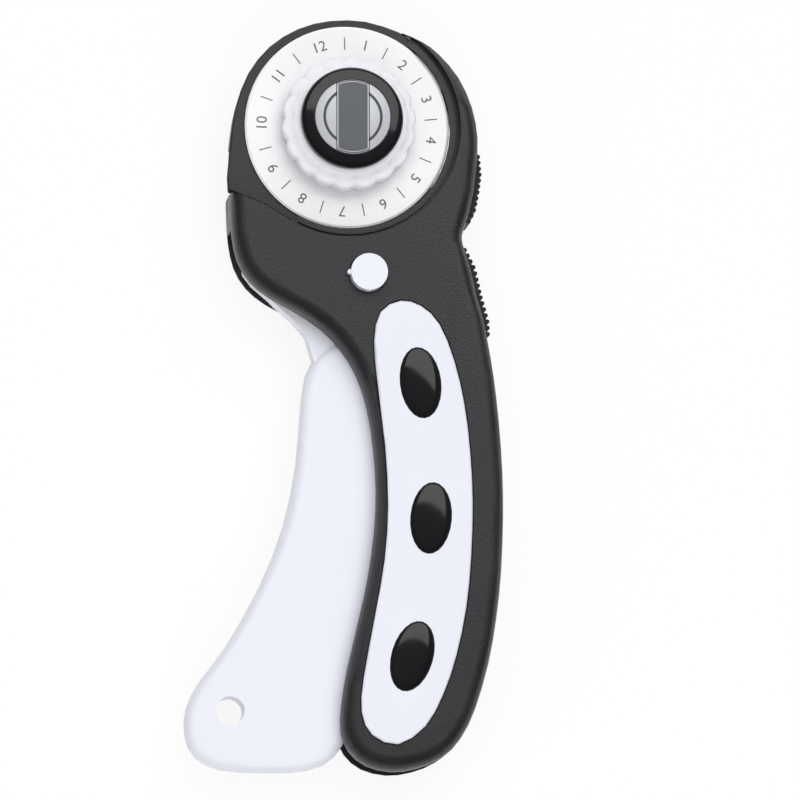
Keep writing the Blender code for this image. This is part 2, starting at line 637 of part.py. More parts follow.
# Blade guard: a plate under the blade with a skirt behind its free edge and a tail for the drive pin.
guard_line = smooth(fitted(GUARD_FREE), 2, False) + arc((0, 0), GUARD_TRIM_RADIUS, *GUARD_ARC, 28)
blade_guard = plate("blade_guard", [guard_line], GUARD_LOW, GUARD_HIGH, parts, 0.4, 1)
skirt_run = [p for p in grown(guard_line, -SKIRT_INSET) if p.y > SKIRT_END and p.x < SKIRT_START]
skirt_inner = [p for p in grown(guard_line, -SKIRT_WALL) if p.y > SKIRT_END and p.x < SKIRT_START]
skirt_run = [p for p in skirt_run if p.length > GUARD_TRIM_RADIUS]
skirt_inner = skirt_inner[:len(skirt_run)]
skirt = plate("skirt", [skirt_run + skirt_inner[::-1]], SKIRT_LOW, GUARD_LOW + 0.8, cutters)
join(blade_guard, skirt)
bush_slot = plate("bush_slot", [capsule(Vector((0, 0)), -SLIDE * guard_travel, BUSH_RADIUS + CLEAR)],
                  0.0, 20.0, cutters)
pin_way = capsule(DRIVE, DRIVE + across * pin_across, DRIVE_RADIUS + CLEAR)
pin_slot = plate("pin_slot", [pin_way], 0.0, 20.0, cutters)
seam = fitted(HEAD_EDGE[1:]) + arc((0, 0), HEAD_RADIUS, HEAD_ARC[0], HEAD_ARC[0], 1)[:1]
seam[0] = seam[0] + (seam[0] - seam[1]) * 0.2
seam_side = Vector((seam[0].y - seam[-1].y, seam[-1].x - seam[0].x)).normalized()
seam_line = [p + seam_side * GROOVE_LIP for p in seam]
seam_line += [p + seam_side * (GROOVE_LIP + GROOVE_WIDTH) for p in reversed(seam)]
seam_groove = plate("seam_groove", [seam_line], GUARD_HIGH - GROOVE_DEPTH, GUARD_HIGH + 1.0, cutters)
cut(blade_guard, bush_slot, pin_slot, seam_groove)
paint(blade_guard, BLACK)

# Blade, with a three-lobed hole that turns on the bush.
blade_hole = []
for i in range(36):
    angle = math.radians(10.0 * i)
    radius = BUSH_RADIUS + 0.75 + 0.5 * math.cos(3 * angle)
    blade_hole.append(Vector((radius * math.cos(angle), radius * math.sin(angle))))
blade_rim = ring((0, 0), BLADE_RADIUS, 72)
rotary_blade = plate("rotary_blade", [blade_rim, blade_hole], BLADE_LOW, BLADE_HIGH, parts)
paint(rotary_blade, STEEL, 1.0, 0.25)
blade_bush = plate("blade_bush", [ring((0, 0), BUSH_RADIUS, 24), ring((0, 0), BOLT_RADIUS + 0.2, 24)],
                   BUSH_LOW, BUSH_HIGH, parts)
paint(blade_bush, STEEL, 1.0, 0.4)
blade_bolt = cylinder("blade_bolt", (0, 0), BOLT_RADIUS, BOLT_HEAD_LOW + 1.0, BOLT_TOP, parts, 24)
bolt_head = cylinder("bolt_head", (0, 0), BOLT_HEAD_RADIUS, BOLT_HEAD_LOW, BOLT_HEAD_HIGH, cutters, 6)
join(blade_bolt, bolt_head)
paint(blade_bolt, STEEL, 1.0, 0.35)
washer_lines = [ring((0, 0), WASHER_RADIUS, 32), ring((0, 0), BOLT_RADIUS + CLEAR, 24)]
spring_washer = plate("spring_washer", washer_lines, WASHER_LOW, WASHER_LOW + WASHER_THICK, parts)
paint(spring_washer, STEEL, 1.0, 0.3)

# Clamp knob with its threaded insert, cap and badge.
flutes = []
for i in range(KNOB_FLUTES * 3):
    angle = 2 * math.pi * i / (KNOB_FLUTES * 3)
    wave = abs(math.sin(KNOB_FLUTES * 0.5 * (angle - math.radians(KNOB_FLUTE_PHASE - 10.0))))
    radius = KNOB_RADIUS - KNOB_FLUTE_DEPTH * (1.0 - wave)
    flutes.append(Vector((radius * math.cos(angle), radius * math.sin(angle))))
clamp_knob = plate("clamp_knob", [flutes], KNOB_LOW, KNOB_RIM, parts, KNOB_EDGE, 0)
knob_cone = turned("knob_cone", ((0.0, KNOB_TOP), (KNOB_CONE_TOP, KNOB_TOP), (KNOB_CONE_BASE, KNOB_RIM - 0.1),
                                 (KNOB_CONE_BASE, KNOB_RIM - 1.0), (0.0, KNOB_RIM - 1.0)), cutters)
knob_bore = cylinder("knob_bore", (0, 0), INSERT_RADIUS + 0.2, 0.0, 40.0, cutters, 24)
knob_pocket = cylinder("knob_pocket", (0, 0), WASHER_RADIUS + CLEAR, 0.0, INSERT_LOW - CLEAR, cutters, 32)
join(clamp_knob, knob_cone)
cut(clamp_knob, knob_bore, knob_pocket)
paint(clamp_knob, WHITE, 0.0, 0.35)
insert_lines = [ring((0, 0), INSERT_RADIUS, 24), ring((0, 0), BOLT_RADIUS + 0.2, 24)]
knob_insert = plate("knob_thread_insert", insert_lines, INSERT_LOW, INSERT_HIGH, parts)
paint(knob_insert, (0.66, 0.5, 0.22), 1.0, 0.35)
badge_floor = CAP_HIGH - BADGE_SINK
cap_profile = (
    (0.0, badge_floor), (BADGE_RADIUS + 0.2, badge_floor), (BADGE_RADIUS + 0.2, CAP_HIGH),
    (9.4, CAP_HIGH - 0.1), (10.4, CAP_HIGH - 0.6), (CAP_RADIUS - 0.15, CAP_HIGH - 1.3),
    (CAP_RADIUS, CAP_HIGH - 2.0), (CAP_RADIUS - 0.1, CAP_LOW + 0.5), (CAP_RADIUS - 0.5, CAP_LOW),
    (INSERT_RADIUS - 0.1, CAP_LOW), (INSERT_RADIUS - 0.1, CAP_SPIGOT_LOW), (0.0, CAP_SPIGOT_LOW),
)
knob_cap = turned("knob_cap", cap_profile, parts, 36)
paint(knob_cap, GLOSS, 0.0, 0.1)
badge_low = badge_floor + 0.1
cap_badge = cylinder("cap_badge", (0, 0), BADGE_RADIUS, badge_low, badge_low + BADGE_THICK, parts, 48)
paint(cap_badge, STEEL, 1.0, 0.3)

# Lock button, pushed through from front to rear, with its friction ring.
button_rim = ring(BUTTON, BUTTON_RADIUS, 28)
lock_button = plate("lock_button", [button_rim], BUTTON_HEAD_LOW, BUTTON_TOP, parts, 0.6, 1)
button_shaft = cylinder("button_shaft", BUTTON, BUTTON_SHAFT_RADIUS, BUTTON_LOW, BUTTON_HEAD_LOW + 1.5,
                        cutters, 24)
ring_groove = plate("ring_groove", [ring(BUTTON, BUTTON_SHAFT_RADIUS + 2.0, 24),
                                    ring(BUTTON, BUTTON_SHAFT_RADIUS - 0.75, 24)],
                    RING_LEVEL - RING_RADIUS - 0.15, RING_LEVEL + RING_RADIUS + 0.15, cutters)
join(lock_button, button_shaft)
cut(lock_button, ring_groove)
paint(lock_button, WHITE, 0.0, 0.35)
loop = [(BUTTON_SHAFT_RADIUS + RING_RADIUS * math.cos(math.radians(60 * i)),
         RING_LEVEL + RING_RADIUS * math.sin(math.radians(60 * i))) for i in range(7)]
button_friction_ring = turned("button_friction_ring", loop[::-1], parts, 20)
button_friction_ring.data.transform(Matrix.Translation((BUTTON.x * MM, BUTTON.y * MM, 0.0)))
paint(button_friction_ring, GLOSS, 0.0, 0.7)

# Body screws, driven in from the rear.
for i, spot in enumerate(SCREWS):
    screw = cylinder("body_screw_%d" % (i + 1), spot, SCREW_RADIUS, SCREW_HEAD_LOW + 1.0, SCREW_TOP,
                     parts, 12)
    head = cylinder("screw_head_%d" % (i + 1), spot, SCREW_HEAD_RADIUS, SCREW_HEAD_LOW, SCREW_HEAD_HIGH,
                    cutters, 16)
    cross = box("screw_cross_%d" % (i + 1), (spot.x - 1.3, spot.x + 1.3), (spot.y - 0.3, spot.y + 0.3),
                (SCREW_HEAD_LOW - 1.0, SCREW_HEAD_LOW + 0.7), cutters)
    join(screw, head)
    cut(screw, cross)
    paint(screw, STEEL, 1.0, 0.35)

# The frame: the origin is put under the middle of the footprint.
bpy.context.view_layer.update()
graph = bpy.context.evaluated_depsgraph_get()
corners = []
for ob in parts.objects:
    seen = ob.evaluated_get(graph)
    corners += [seen.matrix_world @ v.co for v in seen.data.vertices]
middle = [(min(c[k] for c in corners) + max(c[k] for c in corners)) / 2 for k in (0, 1)]
lowest = min(c[2] for c in corners)
root = bpy.data.objects.new("rotary_cutter", None)
parts.objects.link(root)
root.location = (-middle[0], -middle[1], -lowest)
for ob in list(parts.objects) + list(cutters.objects):
    if ob is not root:
        ob.parent = root
print("frame shift, m: %.6f %.6f %.6f" % tuple(root.location))
print("guard travel, m: %.6f for %.3f degrees" % (guard_travel * MM, SQUEEZE_DEG))
for label, spot in (("blade axis", Vector((0, 0))), ("lever pivot", PIVOT), ("button", BUTTON)):
    print("%s, m: %.6f %.6f" % (label, spot.x * MM + root.location.x, spot.y * MM + root.location.y))
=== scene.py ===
import json
import math

import bpy
from bpy.props import FloatProperty, FloatVectorProperty, IntProperty, PointerProperty
from bpy.types import Operator, Panel, PropertyGroup
from mathutils import Matrix, Vector


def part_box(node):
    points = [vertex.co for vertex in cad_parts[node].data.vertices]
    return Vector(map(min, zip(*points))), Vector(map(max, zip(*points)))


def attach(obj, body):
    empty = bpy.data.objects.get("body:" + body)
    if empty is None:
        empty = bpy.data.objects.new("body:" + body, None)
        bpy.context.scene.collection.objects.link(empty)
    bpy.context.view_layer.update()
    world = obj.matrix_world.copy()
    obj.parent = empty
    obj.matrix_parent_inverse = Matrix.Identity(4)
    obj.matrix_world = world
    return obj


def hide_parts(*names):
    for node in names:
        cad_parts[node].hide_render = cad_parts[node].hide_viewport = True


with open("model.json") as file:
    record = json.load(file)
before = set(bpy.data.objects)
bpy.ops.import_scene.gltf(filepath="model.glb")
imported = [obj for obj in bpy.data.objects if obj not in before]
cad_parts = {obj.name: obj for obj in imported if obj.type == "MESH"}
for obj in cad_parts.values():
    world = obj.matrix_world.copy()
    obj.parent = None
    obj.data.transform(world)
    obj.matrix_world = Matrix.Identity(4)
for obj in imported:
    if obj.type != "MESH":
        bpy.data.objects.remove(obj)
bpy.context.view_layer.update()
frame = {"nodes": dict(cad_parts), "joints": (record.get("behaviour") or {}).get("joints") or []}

bl_info = {
    "name": "Rotary cutter dressing",
    "version": (1, 0, 0),
    "blender": (4, 5, 0),
    "location": "View3D > Sidebar > Cutter",
    "description": "Dresses the solids of a squeeze-lever rotary cutter and sets its stage",
    "category": "Object",
}

MM = 0.001
JOINTS = {joint["name"]: joint for joint in frame["joints"]}
AXIS = Vector(JOINTS["blade_spin"]["pos_m"])
BLADE_LOW, BLADE_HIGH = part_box("rotary_blade")
KNOB_LOW, KNOB_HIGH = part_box("clamp_knob")
CAP_LOW, CAP_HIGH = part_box("knob_cap")
BADGE_LOW, BADGE_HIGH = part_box("cap_badge")
BUTTON_LOW, BUTTON_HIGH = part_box("lock_button")

# Points closer than these are merged, in a new piece and in a copied solid.
WELD = 0.002 * MM
COPY_WELD = 0.005 * MM
# Faces of a copied solid that meet at less than this are joined.
JOIN_ANGLE = math.radians(1.0)

# The grip's raised edge round the blade, and the tip where it runs out.
EDGE_WALL = 24.9 * MM
EDGE_FLOOR = 17.3 * MM
EDGE_SLACK = 0.04 * MM
TIP_INNER = 24.3 * MM
TIP_DRAW = 0.16 * MM
TIP_START, TIP_FULL, TIP_END = (math.radians(turn) for turn in (50.0, 60.0, 75.0))

# Half the size of a grip stud, and the lean of each in degrees.
STUD_HALF_LENGTH = 7.7 * MM
STUD_HALF_WIDTH = 4.37 * MM
STUD_LEANS = {"upper": 96.3, "middle": 84.7, "lower": 73.4}

# Rounding of the finger pads' ribs.
PAD_EDGE = 0.18 * MM

# The blade and its marks.
BLADE_BORE = 5.2 * MM
BLADE_LAND = 0.1 * MM
BLADE_TIP = 0.01 * MM
MARK_LIFT = 0.012 * MM
MARK_DEPTH = 0.01 * MM
TYPE_SCALE = 1.38
TICK_SIZE = (2.8 * MM, 0.24 * MM, 0.02 * MM)
FIRST_TICK = math.radians(91.5)

# The clamp knob and its flutes.
KNOB_REACH = 14.75 * MM
KNOB_BORE = 5.25 * MM
KNOB_RIM = 5.3 * MM
KNOB_HOLLOW = 0.6 * MM
FLUTE_INNER = 11.8 * MM
FLUTE_FADE = 1.8 * MM
FLUTE_TOP = 0.8 * MM
FLUTE_STEPS = 14
FLUTE_SHARPNESS = 0.8

# The cap's dome, and the badge in it. An arc is its start and end in degrees, and its steps.
CAP_SEAT = 1.3 * MM
CAP_STEM = 4.9 * MM
CAP_WELL = 8.4 * MM
CAP_WELL_DEPTH = 0.3 * MM
CAP_CHAMFER = 0.4 * MM
CROWN_CENTRE = 4.6 * MM
CROWN_RADIUS = 10.5 * MM
CROWN_ARC = (84.0, 74.0, 6)
SHOULDER_RADIUS = 1.3 * MM
SHOULDER_ARC = (68.0, 20.0, 7)
SHOULDER_INSET = 0.44 * MM
SHOULDER_DROP = 1.22 * MM
DISC_RADIUS = 8.2 * MM
DISC_FACE_RADIUS = 8.05 * MM
DISC_DROP = 0.06 * MM
DISC_CHAMFER_DROP = 0.18 * MM
RING_RADII = (5.9 * MM, 6.5 * MM)
RING_DROPS = (0.08 * MM, 0.03 * MM)
PLAQUE_DEPTH = 0.08 * MM

# The lock button's head.
BUTTON_CUT = 2.1 * MM
BUTTON_HEAD = 2.2 * MM
BUTTON_KEY = 1.6 * MM
BUTTON_KEY_DROP = 1.2 * MM
BUTTON_EDGE = 0.35 * MM

# Bump in the materials.
GRAIN_HEIGHT = 0.1 * MM
LINE_HEIGHT = 0.05 * MM
COAT_ROUGHNESS = 0.08

# The stage: lights are given as name, place, size in metres and power in watts.
SENSOR_WIDTH = 36.0
FLOOR_SIZE = 6.0
FLOOR_DROP = 0.3 * MM
FLOOR_TINT = (0.92, 0.92, 0.92, 1.0)
FLOOR_ROUGHNESS = 0.9
FLOOR_WHITE = 0.88
LIGHT_TARGET = (0.0, 0.0, 0.01)
KEY_LIGHT = ("key_softbox", (0.215, 0.93, 1.25), (1.7, 1.4), 13.5)
FILL_LIGHTS = (
    ("top_fill", (0.0, 0.0, 1.7), (2.6, 2.6), 18.0),
    ("left_fill", (-0.9, -0.45, 0.75), (0.9, 0.9), 3.0),
    ("foot_fill", (0.2, -1.0, 0.8), (0.9, 0.9), 6.5),
)

# The world brightens towards one direction, from the first strength to the second.
WORLD_TINT = (0.95, 0.97, 1.0, 1.0)
WORLD_FACING = (0.0, 0.6, 0.8)
WORLD_START = 0.3
WORLD_STRENGTHS = (0.03, 0.25)


class CutterFinish(PropertyGroup):
    """Colours of the cutter's materials."""
    body: FloatVectorProperty(name="Body", description="Moulded black of the grip and guard", subtype='COLOR',
                              size=3, min=0.0, max=1.0, default=(0.014, 0.0143, 0.016))
    white: FloatVectorProperty(name="White", description="Cool white of the lever, button and inlays",
                               subtype='COLOR', size=3, min=0.0, max=1.0, default=(0.78, 0.79, 0.86))
    # Painted light: the knob's colour is the lever's white made brighter, so that the knob, which takes less
    # light than the lever, is not left darker.
    knob: FloatVectorProperty(name="Knob", description="Colour of the knob's white plastic", subtype='COLOR',
                              size=3, min=0.0, max=1.0, default=(0.93, 0.935, 0.98))
    gloss: FloatVectorProperty(name="Gloss black", description="Polished black of the studs and the cap",
                               subtype='COLOR', size=3, min=0.0, max=1.0, default=(0.006, 0.006, 0.007))
    steel: FloatVectorProperty(name="Steel", description="Bright steel of the blade and fasteners",
                               subtype='COLOR', size=3, min=0.0, max=1.0, default=(0.86, 0.865, 0.87))
    mark: FloatVectorProperty(name="Marks", description="Grey of the dial marks on the blade",
                              subtype='COLOR', size=3, min=0.0, max=1.0, default=(0.10, 0.10, 0.105))


class CutterSizes(PropertyGroup):
    """Sizes of the pieces that are modelled over the solids."""
    ground_width: FloatProperty(name="Ground width", description="Width of the blade's ground edge",
                                unit='LENGTH', min=0.0, default=0.00045)
    number_height: FloatProperty(name="Number height", description="Height of a dial number on the blade",
                                 unit='LENGTH', min=0.0, default=0.0024)
    number_ring: FloatProperty(name="Number ring", description="Radius of the ring of dial numbers",
                               unit='LENGTH', min=0.0, default=0.0187)
    number_step: FloatProperty(name="Number step", description="Turn taken up by a one-digit number",
                               subtype='ANGLE', default=math.radians(28.4))
    stud_rise: FloatProperty(name="Stud rise", description="Height of the dome on a grip stud", unit='LENGTH',
                             min=0.0, default=0.00085)
    flutes: IntProperty(name="Flutes", description="Flutes round the clamp knob", min=3, default=18)
    flute_depth: FloatProperty(name="Flute depth", description="Depth of a flute in the knob's rim",
                               unit='LENGTH', min=0.0, default=0.0008)
    flute_phase: FloatProperty(name="Flute phase", description="Bearing of one crest of the knob",
                               subtype='ANGLE', default=math.radians(6.0))
    edge: FloatProperty(name="Edge", description="Rounding of the grip's edge beside the blade",
                        unit='LENGTH', min=0.0, default=0.0007)


class CutterStage(PropertyGroup):
    """Camera of the stage."""
    tilt: FloatProperty(name="Tilt", description="Tilt of the camera from straight above", subtype='ANGLE',
                        default=math.radians(11.0))
    bearing: FloatProperty(name="Bearing", description="Direction raised features lean to in the picture",
                           subtype='ANGLE', default=math.radians(51.5))
    roll: FloatProperty(name="Roll", description="Turn of the camera about its line of sight",
                        subtype='ANGLE', default=math.radians(0.35))
    distance: FloatProperty(name="Distance", description="Distance of the camera", unit='LENGTH', default=1.3)
    width: FloatProperty(name="Width", description="Width of the picture at the blade", unit='LENGTH',
                         default=0.1746)
    centre: FloatVectorProperty(name="Centre", description="Point at the middle of the picture",
                                subtype='TRANSLATION', size=3, default=(0.01197, -0.00170, 0.0162))


def finish():
    return bpy.context.scene.cutter_finish


def sizes():
    return bpy.context.scene.cutter_sizes


def activate(ob):
    bpy.ops.object.select_all(action='DESELECT')
    ob.select_set(True)
    bpy.context.view_layer.objects.active = ob
    return ob


def start_clean():
    if bpy.context.object and bpy.context.object.mode != 'OBJECT':
        bpy.ops.object.mode_set(mode='OBJECT')
    bpy.ops.object.select_all(action='DESELECT')


def named_active(name):
    ob = bpy.context.object
    ob.name = name
    ob.data.name = name
    return ob


def settle(ob, angle=40.0):
    """Applies the object's place to its mesh and shades it smooth up to an angle."""
    activate(ob)
    bpy.ops.object.transform_apply(location=True, rotation=True, scale=True)
    bpy.ops.object.shade_smooth_by_angle(angle=math.radians(angle))
    return ob


def tidy_mesh(ob):
    """Merges doubled points and turns the normals outward."""
    activate(ob)
    bpy.ops.object.mode_set(mode='EDIT')
    bpy.ops.mesh.select_all(action='SELECT')
    bpy.ops.mesh.remove_doubles(threshold=WELD)
    bpy.ops.mesh.normals_make_consistent(inside=False)
    bpy.ops.object.mode_set(mode='OBJECT')
    return ob


def apply_modifiers(ob):
    activate(ob)
    for step in list(ob.modifiers):
        bpy.ops.object.modifier_apply(modifier=step.name)
    return ob


def rounded(ob, width, segments=2, angle=35.0):
    """Rounds the edges that are sharper than an angle."""
    step = ob.modifiers.new("Edge", 'BEVEL')
    step.width = width
    step.segments = segments
    step.limit_method = 'ANGLE'
    step.angle_limit = math.radians(angle)
    step.use_clamp_overlap = True
    step.miter_outer = 'MITER_ARC'
    return apply_modifiers(ob)


def even(ob):
    """Weights the normals by face area, so that flat faces stay flat beside their rounded edges."""
    step = ob.modifiers.new("Even", 'WEIGHTED_NORMAL')
    step.keep_sharp = True
    step.weight = 70
    return apply_modifiers(ob)


def solid_copy(source, name, angle=40.0, edge=0.0):
    """A welded copy of a solid, to carry the finish, with its edges rounded if a width is given."""
    start_clean()
    ob = bpy.data.objects.new(name, frame["nodes"][source].data.copy())
    ob.data.name = name
    ob.data.materials.clear()
    bpy.context.scene.collection.objects.link(ob)
    activate(ob)
    bpy.ops.object.mode_set(mode='EDIT')
    bpy.ops.mesh.select_all(action='SELECT')
    bpy.ops.mesh.remove_doubles(threshold=COPY_WELD)
    bpy.ops.mesh.dissolve_limited(angle_limit=JOIN_ANGLE)
    bpy.ops.object.mode_set(mode='OBJECT')
    if edge:
        rounded(ob, edge)
    return even(settle(ob, angle))


def turned(name, profile, steps=128):
    """A closed turned piece about the blade axis: profile points are (radius, height) in metres."""
    start_clean()
    bpy.ops.mesh.primitive_plane_add(size=MM)
    ob = named_active(name)
    bpy.ops.object.mode_set(mode='EDIT')
    bpy.ops.mesh.select_mode(type='VERT')
    bpy.ops.mesh.select_all(action='SELECT')
    bpy.ops.mesh.merge(type='CENTER')
    radius, height = profile[0]
    bpy.ops.transform.translate(value=(AXIS.x + radius, AXIS.y, height))
    for next_radius, next_height in profile[1:]:
        step = (next_radius - radius, 0.0, next_height - height)
        bpy.ops.mesh.extrude_region_move(TRANSFORM_OT_translate={"value": step})
        radius, height = next_radius, next_height
    bpy.ops.mesh.select_all(action='SELECT')
    bpy.ops.mesh.spin(steps=steps, angle=2 * math.pi, center=(AXIS.x, AXIS.y, 0.0), axis=(0.0, 0.0, 1.0))
    bpy.ops.object.mode_set(mode='OBJECT')
    return tidy_mesh(ob)


def arc_profile(centre, radius, start, end, count):
    """Points of a rounded corner in a turned profile."""
    turns = (math.radians(start + (end - start) * i / count) for i in range(count + 1))
    return [(centre[0] + radius * math.cos(a), centre[1] + radius * math.sin(a)) for a in turns]


def node(tree, kind, place, **values):
    made = tree.nodes.new(kind)
    made.location = place
    for key, value in values.items():
        setattr(made, key, value)
    return made


def group_tree(name, inputs, outputs):
    tree = bpy.data.node_groups.new(name, 'ShaderNodeTree')
    for label, kind, value in inputs:
        socket = tree.interface.new_socket(label, in_out='INPUT', socket_type=kind)
        if value is not None:
            socket.default_value = value
    for label, kind in outputs:
        tree.interface.new_socket(label, in_out='OUTPUT', socket_type=kind)
    return tree, node(tree, 'NodeGroupInput', (-600, 0)), node(tree, 'NodeGroupOutput', (500, 0))


def moulded_grain():
    """Fine moulded grain, and a slow change of tone where hands have polished the surface."""
    found = bpy.data.node_groups.get("moulded_grain")
    if found:
        return found
    tree, put_in, put_out = group_tree(
        "moulded_grain",
        [("Vector", 'NodeSocketVector', None), ("Grain", 'NodeSocketFloat', 2600.0),
         ("Patch", 'NodeSocketFloat', 55.0)],
        [("Height", 'NodeSocketFloat'), ("Tone", 'NodeSocketFloat')])
    fine = node(tree, 'ShaderNodeTexNoise', (-300, 120))
    fine.inputs["Detail"].default_value = 3.0
    fine.inputs["Roughness"].default_value = 0.6
    slow = node(tree, 'ShaderNodeTexNoise', (-300, -160))
    slow.inputs["Detail"].default_value = 4.0
    tree.links.new(put_in.outputs["Vector"], fine.inputs["Vector"])
    tree.links.new(put_in.outputs["Grain"], fine.inputs["Scale"])
    tree.links.new(put_in.outputs["Vector"], slow.inputs["Vector"])
    tree.links.new(put_in.outputs["Patch"], slow.inputs["Scale"])
    tree.links.new(fine.outputs["Fac"], put_out.inputs["Height"])
    tree.links.new(slow.outputs["Fac"], put_out.inputs["Tone"])
    return tree


def turned_lines():
    """Fine lines left by turning or grinding, as rings about the centre of the vector."""
    found = bpy.data.node_groups.get("turned_lines")
    if found:
        return found
    tree, put_in, put_out = group_tree(
        "turned_lines",
        [("Vector", 'NodeSocketVector', None), ("Lines", 'NodeSocketFloat', 9000.0)],
        [("Height", 'NodeSocketFloat')])
    flat = node(tree, 'ShaderNodeVectorMath', (-420, 0), operation='MULTIPLY')
    flat.inputs[1].default_value = (1.0, 1.0, 0.0)
    reach = node(tree, 'ShaderNodeVectorMath', (-240, 0), operation='LENGTH')
    lines = node(tree, 'ShaderNodeTexNoise', (-40, 0), noise_dimensions='1D')
    lines.inputs["Detail"].default_value = 2.0
    tree.links.new(put_in.outputs["Vector"], flat.inputs[0])
    tree.links.new(flat.outputs["Vector"], reach.inputs[0])
    tree.links.new(reach.outputs["Value"], lines.inputs["W"])
    tree.links.new(put_in.outputs["Lines"], lines.inputs["Scale"])
    tree.links.new(lines.outputs["Fac"], put_out.inputs["Height"])
    return tree


def new_material(name):
    """The material and its new node tree, or no tree if it is already made."""
    look = bpy.data.materials.get(name)
    if look:
        return look, None
    look = bpy.data.materials.new(name)
    look.use_nodes = True
    return look, look.node_tree


def plastic(name, colour, rough, spread, grain, depth, coat=0.0, tint=0.25, shine=0.5):
    """Moulded plastic: grain of a scale and depth, and a slow change of tone (tint) and gloss (spread)."""
    look, tree = new_material(name)
    if tree is None:
        return look
    shader = tree.nodes["Principled BSDF"]
    where = node(tree, 'ShaderNodeTexCoord', (-900, 0))
    grit = node(tree, 'ShaderNodeGroup', (-680, 0), node_tree=moulded_grain())
    grit.inputs["Grain"].default_value = grain
    shade = node(tree, 'ShaderNodeMix', (-380, 220), data_type='RGBA')
    shade.inputs["A"].default_value = (*[c * (1.0 - tint) for c in colour], 1.0)
    shade.inputs["B"].default_value = (*[min(1.0, c * (1.0 + tint)) for c in colour], 1.0)
    gloss = node(tree, 'ShaderNodeMapRange', (-380, -20))
    gloss.inputs["From Min"].default_value = 0.3
    gloss.inputs["From Max"].default_value = 0.7
    gloss.inputs["To Min"].default_value = max(0.02, rough - spread)
    gloss.inputs["To Max"].default_value = rough + spread
    bump = node(tree, 'ShaderNodeBump', (-380, -300))
    bump.inputs["Strength"].default_value = depth
    bump.inputs["Distance"].default_value = GRAIN_HEIGHT
    tree.links.new(where.outputs["Object"], grit.inputs["Vector"])
    tree.links.new(grit.outputs["Tone"], shade.inputs["Factor"])
    tree.links.new(grit.outputs["Tone"], gloss.inputs["Value"])
    tree.links.new(grit.outputs["Height"], bump.inputs["Height"])
    tree.links.new(shade.outputs["Result"], shader.inputs["Base Color"])
    tree.links.new(gloss.outputs["Result"], shader.inputs["Roughness"])
    tree.links.new(bump.outputs["Normal"], shader.inputs["Normal"])
    shader.inputs["Specular IOR Level"].default_value = shine
    shader.inputs["Coat Weight"].default_value = coat
    shader.inputs["Coat Roughness"].default_value = COAT_ROUGHNESS
    return look


def metal(name, colour, rough, lines, depth, metallic=1.0, spread=0.08, dark=0.93):
    """Turned or ground metal, its lines running round the blade axis and changing its gloss and tone."""
    look, tree = new_material(name)
    if tree is None:
        return look
    shader = tree.nodes["Principled BSDF"]
    where = node(tree, 'ShaderNodeTexCoord', (-1100, 0))
    centre = node(tree, 'ShaderNodeMapping', (-900, 0))
    centre.inputs["Location"].default_value = (-AXIS.x, -AXIS.y, 0.0)
    rings = node(tree, 'ShaderNodeGroup', (-680, 0), node_tree=turned_lines())
    rings.inputs["Lines"].default_value = lines
    gloss = node(tree, 'ShaderNodeMapRange', (-380, 0))
    gloss.inputs["To Min"].default_value = max(0.03, rough - spread)
    gloss.inputs["To Max"].default_value = rough + spread
    shade = node(tree, 'ShaderNodeMix', (-380, 240), data_type='RGBA')
    shade.inputs["A"].default_value = (*[c * dark for c in colour], 1.0)
    shade.inputs["B"].default_value = (*colour, 1.0)
    bump = node(tree, 'ShaderNodeBump', (-380, -300))
    bump.inputs["Strength"].default_value = depth
    bump.inputs["Distance"].default_value = LINE_HEIGHT
    tree.links.new(where.outputs["Object"], centre.inputs["Vector"])
    tree.links.new(centre.outputs["Vector"], rings.inputs["Vector"])
    tree.links.new(rings.outputs["Height"], gloss.inputs["Value"])
    tree.links.new(rings.outputs["Height"], shade.inputs["Factor"])
    tree.links.new(rings.outputs["Height"], bump.inputs["Height"])
    tree.links.new(shade.outputs["Result"], shader.inputs["Base Color"])
    tree.links.new(gloss.outputs["Result"], shader.inputs["Roughness"])
    tree.links.new(bump.outputs["Normal"], shader.inputs["Normal"])
    shader.inputs["Metallic"].default_value = metallic
    return look


def body_black():
    return plastic("body_black", finish().body, rough=0.42, spread=0.06, grain=2200.0, depth=0.7, tint=0.3,
                   shine=0.65)


def cool_white():
    return plastic("cool_white", finish().white, rough=0.34, spread=0.05, grain=1400.0, depth=0.06, tint=0.02)


# Painted light: the same white plastic as the lever, in the brighter knob colour, which stands in for light
# the knob does not get.
def knob_white():
    return plastic("knob_white", finish().knob, rough=0.34, spread=0.05, grain=1400.0, depth=0.06, tint=0.02)


def inlay_white():
    return plastic("inlay_white", finish().white, rough=0.22, spread=0.04, grain=900.0, depth=0.04, coat=0.3,
                   tint=0.02)


def gloss_black():
    return plastic("gloss_black", finish().gloss, rough=0.1, spread=0.03, grain=600.0, depth=0.02, tint=0.2)


def pad_rubber():
    return plastic("pad_rubber", finish().gloss, rough=0.6, spread=0.06, grain=3200.0, depth=0.35)


def ground_steel():
    return metal("ground_steel", finish().steel, rough=0.42, lines=9000.0, depth=0.08, metallic=0.3)


def plated_steel():
    return metal("plated_steel", finish().steel, rough=0.25, lines=5000.0, depth=0.05)


def dress(ob, look, body, slot, *nodes):
    """Gives a piece its material and body, and hides the nodes it stands for; the slot is not used."""
    ob.data.materials.clear()
    ob.data.materials.append(look)
    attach(ob, body)
    if nodes:
        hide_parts(*nodes)
    return ob


